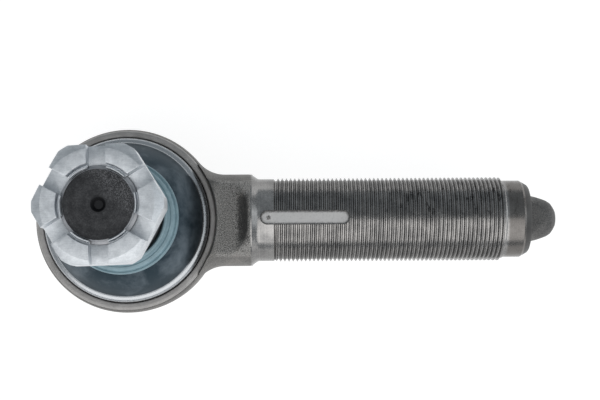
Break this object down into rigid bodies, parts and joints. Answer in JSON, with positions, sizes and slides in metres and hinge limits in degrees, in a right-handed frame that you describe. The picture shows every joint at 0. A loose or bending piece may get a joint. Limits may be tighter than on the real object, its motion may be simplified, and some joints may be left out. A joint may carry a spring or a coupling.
{
  "type": "tie rod end",
  "caption": "Tie rod end: forged eye with a preloaded ball joint, spherical dust cap, tapered stud with slotted nut, and a threaded shank with a keyway.",
  "frame": {"origin": "the centre of the ball, which is the point the stud swings about", "axes": "+X along the shank away from the eye, +Z along the stud towards its nut with the stud straight, +Y completes a right-handed frame"},
  "size_m": [0.1867, 0.066, 0.1175],
  "materials": {
    "forged_steel": "forged and turned steel, grey-brown, lightly oiled",
    "bearing_nylon": "glass-filled nylon, matt",
    "spring_steel": "tempered spring steel, satin",
    "cover_zinc": "zinc plated pressing, satin",
    "black_rubber": "nitrile rubber, matt",
    "nipple_zinc": "zinc plated steel, satin",
    "ball_steel": "ground and polished",
    "stud_black": "blackened steel with bare edges, satin",
    "cap_steel": "dark blue-grey glossy plating with a bare bright rim",
    "teal_seal": "moulded grey-green ring, semi-matt",
    "nut_zinc": "bright zinc plating, scuffed"
  },
  "bodies": {
    "housing": {"housing": "forged_steel", "upper_seat": "bearing_nylon", "lower_seat": "bearing_nylon", "preload_spring": "spring_steel", "end_cover": "cover_zinc", "cover_seal": "black_rubber", "retaining_ring": "spring_steel", "nipple_body": "nipple_zinc", "nipple_spring": "spring_steel"},
    "check_ball": {"nipple_ball": "ball_steel"},
    "cap_seal": {"cap_seal": "black_rubber"},
    "cap": {"dust_cap": "cap_steel", "neck_seal": "teal_seal"},
    "stud": {"ball_stud": "stud_black"},
    "nut": {"castle_nut": "nut_zinc"}
  },
  "joints": [
    {"name": "swing_x", "type": "hinge", "parent": "housing", "child": "cap_seal", "pos_m": [0, 0, 0], "axis": [1, 0, 0], "range_deg": [-12, 12]},
    {"name": "swing_y", "type": "hinge", "parent": "cap_seal", "child": "cap", "pos_m": [0, 0, 0], "axis": [0, 1, 0], "range_deg": [-12, 12]},
    {"name": "stud_spin", "type": "hinge", "parent": "cap", "child": "stud", "pos_m": [0, 0, 0], "axis": [0, 0, 1], "continuous": true},
    {"name": "nut_spin", "type": "hinge", "parent": "stud", "child": "nut", "pos_m": [0, 0, 0.072], "axis": [0, 0, 1], "continuous": true},
    {"name": "check_ball_slide", "type": "slide", "parent": "housing", "child": "check_ball", "axis": [0, 0, 1], "range_m": [0, 0.0006], "stiffness_N_per_m": 1000, "springref_m": -0.001, "deforming": ["nipple_spring"]}
  ]
}
